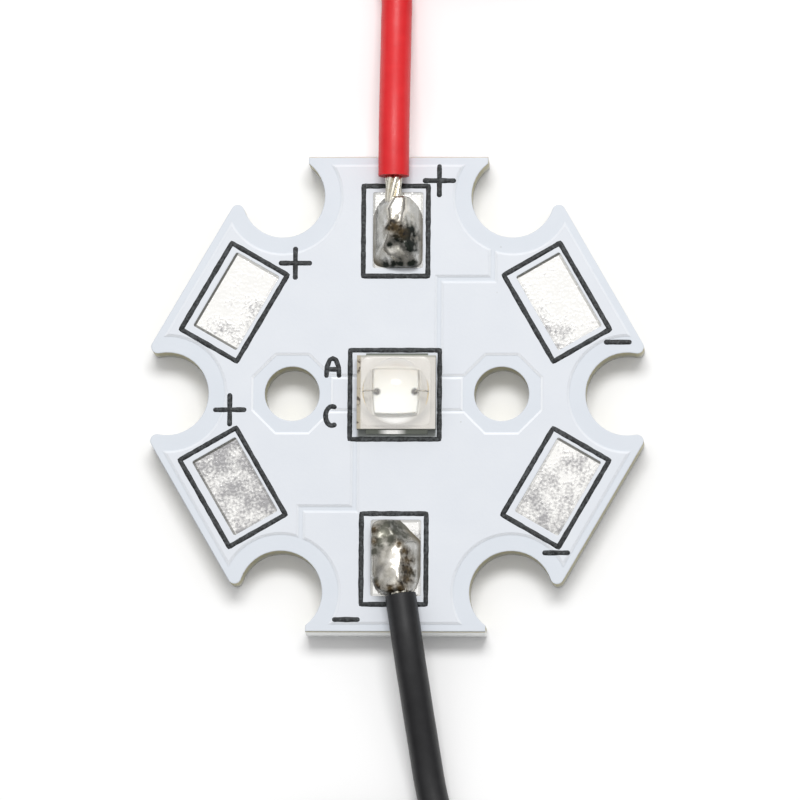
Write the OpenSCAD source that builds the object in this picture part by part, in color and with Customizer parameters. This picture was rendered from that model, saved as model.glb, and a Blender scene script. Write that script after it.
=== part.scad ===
// Star board with one power LED: an aluminium-core circuit board with six arms,
// a ceramic LED on its centre, six tinned pads and two soldered wire leads.
// The origin is the centre of the board's underside, +Z is up and +Y points to the red lead.

/* [Board] */
// Distance between opposite routed edges
across_flats = 20; // [18.5:0.1:23]
// Distance between the two scored edges, over their broken webs
across_scores = 20.26; // [19.5:0.02:23]
// Length of the two scored edges, between the broken-off tips
score_l = 7.55; // [7:0.05:8]
// Thickness of the aluminium base
base_t = 1.4; // [1.2:0.1:3]
// Depth of each score line, cut from both faces
score_depth = 0.5; // [0.2:0.05:0.6]
// Angle between the two flanks of a score line
score_angle = 30; // [20:5:90]
// Radius of the corners of the routed arms
corner_r = 0.28; // [0.1:0.02:0.6]

/* [Fixing] */
// Distance from a corner of the full hexagon in to the middle of its screw notch
notch_setback = 1.88; // [1.6:0.02:2.1]
// Diameter of the screw notches
notch_d = 3.5; // [3.2:0.1:4]
// Distance between the two through holes
hole_spacing = 8.8; // [8:0.1:9.6]
// Diameter of the through holes
hole_d = 2.3; // [1.6:0.1:3]

/* [Layers] */
// Thickness of the dielectric between base and copper
dielectric_t = 0.1; // [0.05:0.01:0.2]
// Thickness of the copper foil
copper_t = 0.035; // [0.035:0.005:0.105]
// Thickness of the solder mask
mask_t = 0.03; // [0.02:0.005:0.06]
// Thickness of the printed legend
ink_t = 0.02; // [0.01:0.005:0.04]
// Thickness of the tin on the pads
tin_t = 0.015; // [0.01:0.005:0.1]
// Width of the slope where mask and print run down over a copper edge
film_slope = 0.12; // [0.06:0.01:0.16]

/* [Copper] */
// Copper is kept back from the board's edges by this
edge_gap = 0.4; // [0.2:0.05:0.5]
// Copper is kept back from the notches by this, for screw heads
notch_gap = 0.8; // [0.4:0.05:0.9]
// Width across flats of the octagon without copper round each hole
hole_clear = 3.5; // [3.2:0.1:4]
// Width of the channel between the two nets
net_gap = 0.4; // [0.2:0.05:0.6]
// Reach of the copper past the edge of an opening in the mask
opening_margin = 0.04; // [0.02:0.01:0.08]
// Distance from the centre line to the channel's legs beside the LED
channel_x = 1.75; // [1.7:0.05:2]
// Distance from a wire pad's inner end to the channel's leg beside it
channel_back = 0.475; // [0.4:0.025:0.8]
// Distance from the centre line to the channel's legs that end at a notch
turn_x = 4; // [3.8:0.05:4.2]

/* [Pads] */
// Width of every tinned pad
pad_w = 2.1; // [1.8:0.05:2.3]
// Length of the two wire pads, out along their arms
wire_pad_l = 3.2; // [2.8:0.05:3.4]
// Distance from a scored edge to the middle of its wire pad
wire_pad_setback = 3.2; // [3:0.02:3.4]
// Length of the four spare pads, along the board's edge
spare_pad_l = 3.6; // [3:0.05:3.8]
// Distance from a routed edge to the middle of its spare pad
spare_pad_setback = 2.17; // [2:0.01:2.4]
// Corner radius of the pads
pad_corner_r = 0.08; // [0.02:0.01:0.3]

/* [Legend] */
// Width of the printed lines
ink_w = 0.22; // [0.15:0.01:0.3]
// Clear distance from a pad to its printed frame
pad_frame_gap = 0.2; // [0.15:0.01:0.25]
// Clear distance from the LED and its solder to their square printed frame
led_frame_gap = 0.07; // [0.06:0.01:0.2]
// How far the print lies off its true place in X
print_shift_x = -0.09; // [-0.1:0.01:0.1]
// How far the print lies off its true place in Y
print_shift_y = -0.04; // [-0.1:0.01:0.1]

/* [LED] */
// Width of the ceramic carrier, along its terminals
ceramic_w = 3.3; // [3.05:0.05:3.35]
// Length of the ceramic carrier, from the anode's side to the cathode's
ceramic_l = 3.1; // [3.05:0.05:3.3]
// Thickness of the ceramic carrier
ceramic_t = 0.5; // [0.3:0.05:0.8]
// Thickness of the solder between copper and terminals
led_solder_t = 0.08; // [0.05:0.01:0.15]
// Reach of the visible solder past the ceramic's edge
solder_toe = 0.15; // [0.05:0.01:0.18]
// Thickness of the terminals under the ceramic
terminal_t = 0.05; // [0.03:0.01:0.1]
// Length of the terminals
terminal_l = 2.6; // [2:0.05:2.8]
// Width of the anode and cathode terminals
terminal_w = 0.5; // [0.3:0.05:0.55]
// Width of the thermal terminal
thermal_w = 1.1; // [0.8:0.05:1.2]
// Gap between the thermal terminal and the other two
terminal_gap = 0.35; // [0.25:0.01:0.38]
// Thickness of the metal lands on top of the ceramic
land_t = 0.03; // [0.02:0.005:0.06]
// Side of the square chip
chip_w = 1.3; // [0.9:0.05:1.4]
// Thickness of the chip
chip_t = 0.15; // [0.1:0.01:0.25]
// Width of the chip's land around the chip
chip_land_rim = 0.05; // [0.02:0.01:0.08]
// Gap between the chip's land and a bond land
land_gap = 0.25; // [0.15:0.01:0.28]
// Width of a bond land
bond_land_w = 0.3; // [0.2:0.01:0.32]
// Length of a bond land
bond_land_l = 0.8; // [0.4:0.05:1.6]
// Distance from the chip's edge to the foot of a bond wire
bond_inset = 0.08; // [0.05:0.01:0.12]
// Diameter of a bond wire
bond_wire_d = 0.05; // [0.03:0.005:0.06]

/* [Lens] */
// Side of the lens's square foot
lens_w = 2.95; // [2.85:0.01:3]
// Corner radius of the foot
lens_corner_r = 0.35; // [0.1:0.05:0.6]
// Thickness of the foot
lens_foot_t = 0.3; // [0.25:0.01:0.5]
// Radius of the dome
dome_r = 1.4; // [1.2:0.01:1.42]

/* [Leads] */
// Outer diameter of the insulation
lead_d = 1.3; // [1.1:0.05:1.3]
// Diameter of one strand
strand_d = 0.25; // [0.15:0.01:0.3]
// Stripped length of the red lead at its pad
red_strip = 2.6; // [2:0.1:3]
// Stripped length of the black lead at its pad
black_strip = 2; // [1.6:0.1:2.4]
// Stripped and tinned length at each far end
tip_l = 3.5; // [2:0.1:6]
// Gap between a lead's underside and the tin of its pad
lead_gap = 0.04; // [0.02:0.01:0.1]
// Bare tin around a solder joint, on the pad's sides and inner end
joint_margin = 0.04; // [0.02:0.01:0.1]
// Length of the red lead's solder joint
red_joint_l = 2.9; // [2.4:0.05:3.1]
// Length of the black lead's solder joint, up to its insulation
black_joint_l = 3.1; // [2.4:0.05:3.1]
// Height of a solder joint
joint_h = 1.25; // [1.15:0.01:1.5]
// Thickness of the tie round each coil
tie_t = 0.2; // [0.1:0.05:0.2]
// Width of the tie, as an angle of the coil
tie_angle = 24; // [10:1:60]

/* [Hidden] */
$fn = 64;

// Heights of the layers' top faces
base_top = base_t;
dielectric_top = base_top + dielectric_t;
copper_top = dielectric_top + copper_t;
board_top = copper_top + mask_t;
tin_top = copper_top + tin_t;

// The board's outline
notch_r = across_flats / sqrt(3) - notch_setback;
score_run = score_depth * tan(score_angle / 2);
score_face = across_scores / 2 - score_run;
sheet = 2 * across_scores;
notch_angles = [0 : 60 : 300];
routed_arms = [30, 150, 210, 330];
wire_arms = [90, 270];
through = 0.1;
film_steps = 4;

// The pads' places and the channel between the nets
wire_pad_r = across_scores / 2 - wire_pad_setback;
spare_pad_r = across_flats / 2 - spare_pad_setback;
channel_y = wire_pad_r - wire_pad_l / 2 - channel_back;

// The LED's terminals, lands and heights
strip_inner = thermal_w / 2 + terminal_gap;
strip_outer = strip_inner + terminal_w;
toe_end = ceramic_l / 2 + solder_toe;
toe_t = led_solder_t / 4;
net_inner = strip_inner - opening_margin;
island_w = thermal_w + 2 * opening_margin;
terminal_z = copper_top + led_solder_t;
ceramic_z = terminal_z + terminal_t;
land_z = ceramic_z + ceramic_t;
chip_z = land_z + land_t;
chip_top = chip_z + chip_t;
chip_land_w = chip_w + 2 * chip_land_rim;
bond_land_x = chip_land_w / 2 + land_gap + bond_land_w / 2;
bond_foot_x = chip_w / 2 - bond_inset;
bond_arc_r = (bond_land_x - bond_foot_x) / 2;

// The leads' routes from the stripped end at the pad to the coil, and from the coil to the
// far end. A point holds its X, its Y from the middle of the pad, and its height as a share
// of the fall.
red_points = [
  [-0.16, 2.2, 1], [-0.16, 3, 1], [-0.16, 4, 0.96], [-0.16, 5, 0.835], [-0.16, 6, 0.65],
  [-0.16, 7, 0.43], [-0.16, 8, 0.23], [-0.16, 9, 0.08], [-0.16, 10, 0.015], [-0.3, 11, 0],
  [-0.6, 12, 0], [-1.15, 13, 0], [-1.75, 13.85, 0], [-2.4, 14.6, 0]
];
red_tail_points = [
  [-3.27, 15.61, 1], [-3.85, 16.43, 0.953], [-4.42, 17.25, 0.793], [-4.99, 18.07, 0.533],
  [-5.57, 18.89, 0.253], [-6.14, 19.71, 0.067], [-6.72, 20.53, 0], [-7.3, 21.35, 0]
];
black_points = [
  [0.24, -1.6, 1], [0.38, -2.5, 1], [0.53, -3.5, 0.993], [0.68, -4.5, 0.903],
  [0.84, -5.5, 0.745], [0.99, -6.5, 0.538], [1.15, -7.5, 0.324], [1.31, -8.5, 0.145],
  [1.48, -9.5, 0.041], [1.72, -10.5, 0.007], [2.1, -11.5, 0], [2.68, -12.4, 0],
  [3.45, -13.2, 0], [4.3, -14, 0]
];
black_tail_points = [
  [5.17, -15.01, 1], [5.75, -15.83, 0.953], [6.32, -16.65, 0.793], [6.89, -17.47, 0.533],
  [7.47, -18.29, 0.253], [8.04, -19.11, 0.067], [8.62, -19.93, 0], [9.2, -20.75, 0]
];
function route(points, pad_y, low, high) =
  [for (p = points) [p[0], pad_y + p[1], low + p[2] * (high - low)]];
lead_at_pad = tin_top + lead_gap + lead_d / 2;
lead_on_floor = lead_d / 2;
low_turn = tie_t + lead_d / 2;
high_turn = low_turn + lead_d;
red_route = route(red_points, wire_pad_r, low_turn, lead_at_pad);
red_tail_route = route(red_tail_points, wire_pad_r, lead_on_floor, high_turn);
black_route = route(black_points, -wire_pad_r, low_turn, lead_at_pad);
black_tail_route = route(black_tail_points, -wire_pad_r, lead_on_floor, high_turn);
red_coil_centre = [3, wire_pad_r + 20];
black_coil_centre = [-1.1, -wire_pad_r - 19.4];
red_tie_turn = 60;
black_tie_turn = 240;
coil_mean_r = 7;
coil_section = 2 * lead_d;
coil_corner_r = lead_d / 3;
tube_sides = 8;
joint_rows = 14;
joint_steps = 12;
joint_w = pad_w - 2 * joint_margin;
strand_pitch = 0.96 * strand_d;

// Colours
aluminium_grey = [0.74, 0.75, 0.77];
copper_red = [0.8, 0.45, 0.28];
tin_silver = [0.82, 0.83, 0.84];
gold_yellow = [0.85, 0.66, 0.3];
wire_red = [0.78, 0.06, 0.06];
wire_black = [0.06, 0.06, 0.07];
tie_white = [0.9, 0.9, 0.88];

// A rectangle with round corners, on its centre
module rounded_rectangle(w, l, r) {
  square([w - 2 * r, l], center = true);
  square([w, l - 2 * r], center = true);
  for (x = [-1, 1], y = [-1, 1])
    translate([x * (w / 2 - r), y * (l / 2 - r)]) circle(r = r);
}

// What the router takes off one corner of an arm: the tip between the arm's edge
// and the notch beside it, down to a round of corner_r
module corner_cut(side) {
  notch_x = notch_r * cos(30);
  notch_y = notch_r * sin(30);
  round_x = across_flats / 2 - corner_r;
  reach = notch_d / 2 + corner_r;
  round_y = notch_y - sqrt(reach * reach - pow(round_x - notch_x, 2));
  past = across_flats / 2 + corner_r;
  difference() {
    polygon([
      [round_x, side * round_y], [past, side * round_y],
      [past, side * notch_y], [notch_x, side * notch_y]
    ]);
    translate([round_x, side * round_y]) circle(r = corner_r);
  }
}

// A hexagon cut from three crossing strips, drawn in by inset on every side
module hexagon(inset, score_reach) {
  intersection() {
    rotate(30) square([across_flats - 2 * inset, sheet], center = true);
    rotate(150) square([across_flats - 2 * inset, sheet], center = true);
    square([sheet, 2 * (score_reach - inset)], center = true);
  }
}

// Round screw notches at the six corners, open to the outside
module notches(gap) {
  mouth = notch_d / 2;
  for (a = notch_angles) rotate(a) translate([notch_r, 0]) {
    circle(d = notch_d + 2 * gap);
    translate([0, -mouth / 2]) square([sheet, mouth]);
  }
}

// Outline of the star with its two holes
module star() {
  difference() {
    hexagon(0, across_scores / 2);
    notches(0);
    for (side = [-1, 1]) translate([side * (score_l + sheet) / 2, 0]) difference() {
      square(sheet, center = true);
      square([2 * sheet, across_scores - notch_d / 2], center = true);
    }
    for (a = routed_arms, side = [-1, 1]) rotate(a) corner_cut(side);
    for (x = [-1, 1]) translate([x * hole_spacing / 2, 0]) circle(d = hole_d);
  }
}

// The board's section across the two scored edges, as long as the sheet
module scored_bar() {
  far = across_scores / 2;
  rotate([90, 0, 90]) linear_extrude(sheet, center = true) polygon([
    [-score_face, 0], [score_face, 0], [far, score_depth], [far, board_top - score_depth],
    [score_face, board_top], [-score_face, board_top], [-far, board_top - score_depth],
    [-far, score_depth]
  ]);
}

// A full layer of the board, from one height to another
module board_layer(z, t) {
  intersection() {
    translate([0, 0, z]) linear_extrude(t) star();
    scored_bar();
  }
}

// The area that may carry copper, made wider by grow
module copper_area(grow) {
  difference() {
    hexagon(edge_gap - grow, score_face);
    notches(notch_gap - grow);
    for (x = [-1, 1]) translate([x * hole_spacing / 2, 0]) rotate(22.5)
      circle(r = (hole_clear / 2 - grow) / cos(22.5), $fn = 8);
  }
}

// One net: the upper or left side of the channel that steps from notch to notch
module net(grow) {
  half = net_gap / 2 - grow;
  inner = net_inner - grow;
  intersection() {
    copper_area(grow);
    polygon([
      [turn_x - half, sheet], [turn_x - half, channel_y + half],
      [channel_x - half, channel_y + half], [channel_x - half, inner],
      [-hole_spacing / 2, inner], [-hole_spacing / 2, -inner],
      [-channel_x - half, -inner], [-channel_x - half, half - channel_y],
      [-turn_x - half, half - channel_y], [-turn_x - half, -sheet],
      [-sheet, -sheet], [-sheet, sheet]
    ]);
  }
}

module thermal_island(grow) {
  intersection() {
    copper_area(grow);
    square([hole_spacing, island_w + 2 * grow], center = true);
  }
}

module all_copper(grow) {
  net(grow);
  rotate(180) net(grow);
  thermal_island(grow);
}

// A tinned pad's outline; wire pads run out along their arm, spare pads along its edge
module pad_outline(arm) {
  wire = arm == wire_arms[0] || arm == wire_arms[1];
  rotate(arm) translate([wire ? wire_pad_r : spare_pad_r, 0])
    rounded_rectangle(wire ? wire_pad_l : pad_w, wire ? pad_w : spare_pad_l, pad_corner_r);
}

// Solder areas of the LED: the anode's strip is at +Y, the cathode's at -Y
module strip_opening() {
  translate([-terminal_l / 2, strip_inner]) square([terminal_l, toe_end - strip_inner]);
}

module thermal_opening() {
  square([terminal_l, thermal_w], center = true);
}

// Everything below a film's top face: the face lies at level above the dielectric, rises by
// the copper's thickness over copper made wider by grow, and slopes in steps between the two
module film_bed(level, grow, slope) {
  translate([0, 0, dielectric_top]) {
    translate([0, 0, -through]) linear_extrude(level + through) square(sheet, center = true);
    for (i = [0 : film_steps - 1])
      linear_extrude(level + copper_t * (1 - i / film_steps)) all_copper(grow + slope * i / film_steps);
  }
}

// The first film lies on the bare copper, a later one on the film below it
module film(level, t) {
  difference() {
    intersection() {
      translate([0, 0, base_top]) linear_extrude(board_top) children();
      film_bed(level + t, level + t, film_slope);
    }
    film_bed(level, level, level > 0 ? film_slope : 0);
  }
}

module printed_frame(w, l) {
  difference() {
    rounded_rectangle(w + 2 * ink_w, l + 2 * ink_w, ink_w / 2);
    square([w, l], center = true);
  }
}

// A closed tube swept along a row of points, with flat ends
function unit(v) = v / norm(v);
function heading(points, i) =
  unit(points[min(i + 1, len(points) - 1)] - points[max(i - 1, 0)]);
function tube_ring(points, i, r) =
  let (ahead = heading(points, i), aside = unit(cross(ahead, [0, 0, 1])), up = cross(aside, ahead))
  [for (k = [0 : tube_sides - 1])
    let (a = 360 * (k + 0.5) / tube_sides)
    points[i] + r * (cos(a) * aside + sin(a) * up)];

module tube(points, d) {
  rings = len(points);
  corners = [for (i = [0 : rings - 1]) each tube_ring(points, i, d / 2)];
  sides = [for (i = [0 : rings - 2], k = [0 : tube_sides - 1])
    let (next = (k + 1) % tube_sides)
    [i * tube_sides + k, (i + 1) * tube_sides + k,
     (i + 1) * tube_sides + next, i * tube_sides + next]];
  first = [for (k = [0 : tube_sides - 1]) k];
  last = [for (k = [tube_sides - 1 : -1 : 0]) (rings - 1) * tube_sides + k];
  polyhedron(corners, concat(sides, [first, last]));
}

// Seven strands, one in the middle of six, that leave a point along a direction in plan
module strands(from, ahead, l) {
  turn = atan2(ahead[1], ahead[0]);
  translate(from) rotate([0, 90, turn]) {
    cylinder(d = strand_d, h = l);
    for (a = [0 : 60 : 300]) rotate(a) translate([strand_pitch, 0]) cylinder(d = strand_d, h = l);
  }
}

module red_strands() {
  strands(red_route[0], -heading(red_route, 0), red_strip);
}

module black_strands() {
  strands(black_route[0], -heading(black_route, 0), black_strip);
}

// A mound of solder over a wire pad, from its inner end out along the arm. Across
// the pad it is a flattened dome; along the arm it climbs to the strands and falls off
// steeply behind them.
function joint_along(i) = (1 - cos(180 * i / joint_rows)) / 2;
function joint_half(v) = joint_w / 2 * pow(1 - pow(abs(2 * v - 1), 4), 0.4);
function joint_crest(v) = joint_h * pow(sin(180 * pow(v, 1.2)), 0.7);
function joint_point(i, k, l) =
  let (v = joint_along(i), u = sin(90 * (2 * k / joint_steps - 1)))
  [l * v, u * joint_half(v), joint_crest(v) * pow(max(0, 1 - pow(abs(u), 2.4)), 0.6)];

module solder_mound(l) {
  across = joint_steps + 1;
  inner_rows = joint_rows - 1;
  top = [for (i = [1 : inner_rows], k = [0 : joint_steps]) joint_point(i, k, l)];
  near_tip = len(top);
  far_tip = near_tip + 1;
  points = concat(top, [[0, 0, 0], [l, 0, 0]]);
  skin = [for (i = [0 : inner_rows - 2], k = [0 : joint_steps - 1])
    let (p = i * across + k)
    each [[p, p + 1, p + across], [p + 1, p + across + 1, p + across]]];
  near_fan = [for (k = [0 : joint_steps - 1]) [near_tip, k + 1, k]];
  last_row = (inner_rows - 1) * across;
  far_fan = [for (k = [0 : joint_steps - 1]) [far_tip, last_row + k, last_row + k + 1]];
  foot = concat(
    [near_tip], [for (i = [0 : inner_rows - 1]) i * across],
    [far_tip], [for (i = [inner_rows - 1 : -1 : 0]) i * across + joint_steps]);
  polyhedron(points, concat(skin, near_fan, far_fan, [foot]));
}

module solder_joint(arm, l) {
  rotate(arm) translate([wire_pad_r - wire_pad_l / 2 + joint_margin, 0, tin_top]) solder_mound(l);
}

// The outer shape of a coil of two turns side by side, two high, lying on its tie
module coil(centre, grow, angle) {
  translate([centre[0], centre[1], tie_t + coil_section / 2]) rotate_extrude(angle = angle)
    translate([coil_mean_r, 0])
      rounded_rectangle(coil_section + 2 * grow, coil_section + 2 * grow, coil_corner_r + grow);
}

module coil_tie(centre, turn) {
  translate([centre[0], centre[1], 0]) rotate(turn) difference() {
    coil([0, 0], tie_t, tie_angle);
    coil([0, 0], 0, 360);
  }
}

// A stretch of lead that leaves or meets its coil
module lead_stretch(route, centre) {
  difference() {
    tube(route, lead_d);
    coil(centre, 0, 360);
  }
}

module lead_tip(route) {
  end = len(route) - 1;
  strands(route[end], heading(route, end), tip_l);
}

// A half ring from the chip's edge over to the bond land, with a straight foot on the land
module bond_wire(side) {
  mirror([side < 0 ? 1 : 0, 0, 0]) {
    translate([bond_foot_x + bond_arc_r, 0, chip_top]) rotate([90, 0, 0])
      rotate_extrude(angle = 180) translate([bond_arc_r, 0]) circle(d = bond_wire_d);
    translate([bond_land_x, 0, chip_z]) cylinder(d = bond_wire_d, h = chip_t);
  }
}

module bond_land(side) {
  translate([side * bond_land_x - bond_land_w / 2, -bond_land_l / 2, land_z])
    cube([bond_land_w, bond_land_l, land_t]);
}

module terminal(w, l, y) {
  translate([-l / 2, y, terminal_z]) cube([l, w, terminal_t]);
}

// Solder under an LED terminal, with a sloped toe that shows past the ceramic
module strip_solder() {
  translate([0, 0, copper_top]) rotate([90, 0, 90]) linear_extrude(terminal_l, center = true)
    polygon([
      [strip_inner, 0], [toe_end, 0], [toe_end, toe_t],
      [strip_outer, led_solder_t], [strip_inner, led_solder_t]
    ]);
}

module chip_block() {
  translate([-chip_w / 2, -chip_w / 2, chip_z]) cube([chip_w, chip_w, chip_t]);
}

module chip_land_block() {
  translate([-chip_land_w / 2, -chip_land_w / 2, land_z]) cube([chip_land_w, chip_land_w, land_t]);
}

module aluminium_base() {
  color(aluminium_grey) board_layer(0, base_t);
}

module dielectric_layer() {
  color([0.86, 0.84, 0.72]) board_layer(base_top, dielectric_t);
}

module net_foil(turn) {
  color(copper_red) rotate(turn) translate([0, 0, dielectric_top]) linear_extrude(copper_t) net(0);
}

module thermal_copper() {
  color(copper_red) translate([0, 0, dielectric_top]) linear_extrude(copper_t) thermal_island(0);
}

module solder_mask() {
  color([0.9, 0.93, 0.95]) intersection() {
    film(0, mask_t) difference() {
      star();
      for (arm = concat(routed_arms, wire_arms)) pad_outline(arm);
      strip_opening();
      rotate(180) strip_opening();
      thermal_opening();
    }
    scored_bar();
  }
}

module legend_frames() {
  color([0.16, 0.17, 0.19]) film(mask_t, ink_t) translate([print_shift_x, print_shift_y]) {
    led_frame_w = max(ceramic_w, 2 * toe_end) + 2 * led_frame_gap;
    printed_frame(led_frame_w, led_frame_w);
    for (arm = wire_arms) rotate(arm) translate([wire_pad_r, 0])
      printed_frame(wire_pad_l + 2 * pad_frame_gap, pad_w + 2 * pad_frame_gap);
    for (arm = routed_arms) rotate(arm) translate([spare_pad_r, 0])
      printed_frame(pad_w + 2 * pad_frame_gap, spare_pad_l + 2 * pad_frame_gap);
  }
}

module tinned_pad(arm) {
  color(tin_silver) translate([0, 0, copper_top]) linear_extrude(tin_t) pad_outline(arm);
}

module led_strip_solder(turn) {
  color(tin_silver) rotate(turn) strip_solder();
}

module led_thermal_solder() {
  color(tin_silver) translate([0, 0, copper_top]) linear_extrude(led_solder_t) thermal_opening();
}

module led_strip_terminal(turn) {
  color(gold_yellow) rotate(turn) terminal(terminal_w, terminal_l, strip_inner);
}

module led_thermal_terminal() {
  color(gold_yellow) terminal(thermal_w, terminal_l, -thermal_w / 2);
}

module led_ceramic() {
  color([0.8, 0.76, 0.68]) translate([-ceramic_w / 2, -ceramic_l / 2, ceramic_z])
    cube([ceramic_w, ceramic_l, ceramic_t]);
}

module led_chip_land() {
  color(gold_yellow) chip_land_block();
}

module led_bond_land(side) {
  color(gold_yellow) bond_land(side);
}

module led_chip() {
  color([0.95, 0.93, 0.84]) chip_block();
}

module led_bond_wire(side) {
  color(gold_yellow) bond_wire(side);
}

// Silicone moulded over the chip: a square foot with a dome, hollow where the chip,
// the lands and the bond wires are
module led_lens() {
  color([0.93, 0.92, 0.86, 0.5]) difference() {
    translate([0, 0, land_z]) {
      linear_extrude(lens_foot_t) rounded_rectangle(lens_w, lens_w, lens_corner_r);
      translate([0, 0, lens_foot_t]) intersection() {
        sphere(r = dome_r);
        cylinder(r = lens_w, h = 2 * dome_r);
      }
    }
    chip_block();
    chip_land_block();
    for (side = [-1, 1]) {
      bond_land(side);
      bond_wire(side);
    }
  }
}

module red_conductor() {
  color(tin_silver) red_strands();
}

module black_conductor() {
  color(tin_silver) black_strands();
}

module red_solder_joint() {
  color(tin_silver) difference() {
    solder_joint(wire_arms[0], red_joint_l);
    red_strands();
  }
}

module black_solder_joint() {
  color(tin_silver) difference() {
    solder_joint(wire_arms[1], black_joint_l);
    black_strands();
  }
}

module red_lead() {
  color(wire_red) lead_stretch(red_route, red_coil_centre);
}

module red_lead_coil() {
  color(wire_red) coil(red_coil_centre, 0, 360);
}

module red_lead_tail() {
  color(wire_red) lead_stretch(red_tail_route, red_coil_centre);
}

module black_lead() {
  color(wire_black) lead_stretch(black_route, black_coil_centre);
}

module black_lead_coil() {
  color(wire_black) coil(black_coil_centre, 0, 360);
}

module black_lead_tail() {
  color(wire_black) lead_stretch(black_tail_route, black_coil_centre);
}

module tinned_tip(route) {
  color(tin_silver) lead_tip(route);
}

module paper_tie(centre, turn) {
  color(tie_white) coil_tie(centre, turn);
}

aluminium_base();
dielectric_layer();
net_foil(0);  // anode_copper
net_foil(180);  // cathode_copper
thermal_copper();
solder_mask();
legend_frames();
tinned_pad(90);  // anode_wire_pad
tinned_pad(150);  // anode_upper_pad
tinned_pad(210);  // anode_lower_pad
tinned_pad(270);  // cathode_wire_pad
tinned_pad(30);  // cathode_upper_pad
tinned_pad(330);  // cathode_lower_pad
led_strip_solder(0);  // led_anode_solder
led_strip_solder(180);  // led_cathode_solder
led_thermal_solder();
led_strip_terminal(0);  // led_anode_terminal
led_strip_terminal(180);  // led_cathode_terminal
led_thermal_terminal();
led_ceramic();
led_chip_land();
led_bond_land(-1);  // led_anode_land
led_bond_land(1);  // led_cathode_land
led_chip();
led_bond_wire(-1);  // led_anode_bond_wire
led_bond_wire(1);  // led_cathode_bond_wire
led_lens();
red_conductor();
red_solder_joint();
red_lead();
red_lead_coil();
paper_tie(red_coil_centre, red_tie_turn);  // red_coil_tie
red_lead_tail();
tinned_tip(red_tail_route);  // red_lead_tip
black_conductor();
black_solder_joint();
black_lead();
black_lead_coil();
paper_tie(black_coil_centre, black_tie_turn);  // black_coil_tie
black_lead_tail();
tinned_tip(black_tail_route);  // black_lead_tip
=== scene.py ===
import math

import bpy
from mathutils import Matrix, Vector, noise


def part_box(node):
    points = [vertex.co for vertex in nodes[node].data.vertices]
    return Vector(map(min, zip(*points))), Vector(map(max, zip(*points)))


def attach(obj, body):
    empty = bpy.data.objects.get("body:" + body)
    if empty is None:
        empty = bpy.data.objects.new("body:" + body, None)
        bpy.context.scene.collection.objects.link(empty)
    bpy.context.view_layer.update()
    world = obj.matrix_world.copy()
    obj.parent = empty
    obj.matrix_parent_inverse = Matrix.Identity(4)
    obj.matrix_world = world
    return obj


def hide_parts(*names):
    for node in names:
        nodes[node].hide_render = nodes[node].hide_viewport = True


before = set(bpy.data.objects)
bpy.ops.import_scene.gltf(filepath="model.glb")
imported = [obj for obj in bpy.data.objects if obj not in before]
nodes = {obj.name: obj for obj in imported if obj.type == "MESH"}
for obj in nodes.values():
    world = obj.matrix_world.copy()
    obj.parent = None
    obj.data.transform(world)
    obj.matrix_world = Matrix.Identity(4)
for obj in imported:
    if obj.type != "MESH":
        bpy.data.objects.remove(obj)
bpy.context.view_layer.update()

# Camera: it stands almost straight above the board and leans towards the black lead and +X.
# A long lens keeps opposite edges of the board parallel.
MM = 0.001
image_px = 800
px_per_mm = 23.84
board_middle_px = (396.8, 393.75)
camera_tilt = math.radians(7)
camera_lean = math.radians(3)
camera_roll = math.radians(0.4)
camera_far = 400 * MM
camera_sees = (10 * MM, 10)
sensor_mm = 36
board_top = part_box("solder_mask")[1].z

bpy.ops.object.select_all(action="DESELECT")
aim_right = (image_px / 2 - board_middle_px[0]) / px_per_mm * MM
aim_down = (image_px / 2 - board_middle_px[1]) / px_per_mm * MM
aim = Vector((aim_right / math.cos(camera_lean), -aim_down / math.cos(camera_tilt), board_top))
back = Vector((math.tan(camera_lean), -math.tan(camera_tilt), 1)).normalized()
bpy.ops.object.camera_add(location=aim + back * camera_far)
camera = bpy.context.object
camera.name = "camera"
right = Vector((0, 1, 0)).cross(back).normalized()
camera_axes = Matrix((right, back.cross(right), back)).transposed()
camera.rotation_euler = (camera_axes @ Matrix.Rotation(camera_roll, 3, "Z")).to_euler()
camera.data.sensor_width = sensor_mm
camera.data.lens = sensor_mm * camera_far * px_per_mm / (image_px * MM)
camera.data.clip_start, camera.data.clip_end = camera_sees
bpy.context.scene.camera = camera
bpy.context.scene.view_settings.view_transform = "Standard"


# Studio: a white table, a sky that is white overhead and dim all round, and one softbox
# beyond the red lead. Level metal mirrors the white sky, and sloping metal the dim rim.
def put(tree, kind, inputs=None, **settings):
    """Adds a shader node, sets its options, and fills or links its inputs."""
    made = tree.nodes.new(kind)
    for name, value in settings.items():
        setattr(made, name, value)
    for name, value in (inputs or {}).items():
        if isinstance(value, bpy.types.NodeSocket):
            tree.links.new(value, made.inputs[name])
        else:
            made.inputs[name].default_value = value
    return made


def start_material(name, **sockets):
    """A new material, its node tree and its main shader with plain values set."""
    material = bpy.data.materials.new(name)
    material.use_nodes = True
    tree = material.node_tree
    shader = tree.nodes["Principled BSDF"]
    for socket, value in sockets.items():
        shader.inputs[socket.replace("_", " ")].default_value = value
    return material, tree, shader


def ramp(tree, value, low, high, start=0.0, end=1.0):
    """Takes a value from low..high to start..end, and no further."""
    return put(tree, "ShaderNodeMapRange", {
        "Value": value, "From Min": low, "From Max": high, "To Min": start, "To Max": end,
    }).outputs["Result"]


table_size = 4
table_drop = 0.01 * MM
bpy.ops.object.select_all(action="DESELECT")
bpy.ops.mesh.primitive_plane_add(size=table_size, location=(0, 0, -table_drop))
table = bpy.context.object
table.name = "table"
table_paint = start_material(
    "table_paint", Base_Color=(0.97, 0.97, 0.97, 1), Roughness=0.9, Specular_IOR_Level=0.1)[0]
table.data.materials.append(table_paint)

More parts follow.
